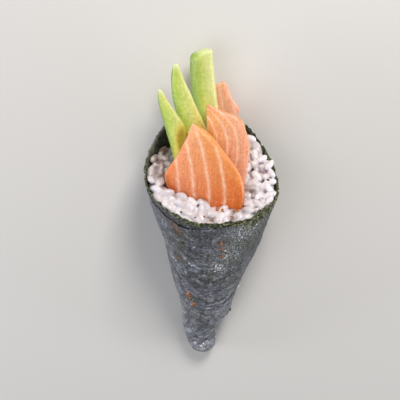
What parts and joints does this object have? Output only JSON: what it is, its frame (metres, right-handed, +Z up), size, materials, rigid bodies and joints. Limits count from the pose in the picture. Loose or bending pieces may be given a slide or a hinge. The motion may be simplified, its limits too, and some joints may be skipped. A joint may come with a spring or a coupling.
{
  "type": "salmon temaki hand roll",
  "caption": "Cone of seaweed filled with rice, lying on its back, with salmon slices and avocado wedges standing out of its open mouth.",
  "frame": {"origin": "on the flat strip that the cone rests on, in the middle of the strip's width, 64 mm from the base of the tip measured along the cone's axis", "axes": "+Y runs along the floor from the tip to the mouth, +Z is up, towards the side that shows, and +X is to the right as seen from above with the tip nearest"},
  "size_m": [0.0613, 0.1593, 0.0579],
  "materials": {
    "nori": "dried seaweed, dark green to blue-grey, thin, creased, with a soft sheen",
    "rice": "steamed short-grain rice, moist, pearly white",
    "salmon": "raw salmon, moist, orange-pink with pale bands",
    "avocado": "ripe avocado flesh, smooth and buttery, green at the skin side and yellow inside"
  },
  "bodies": {
    "root": {"nori_wrap": "nori", "rice": "rice", "salmon_front": "salmon", "salmon_middle": "salmon", "salmon_rear": "salmon", "avocado_left": "avocado", "avocado_middle": "avocado", "avocado_tall": "avocado"}
  },
  "joints": []
}
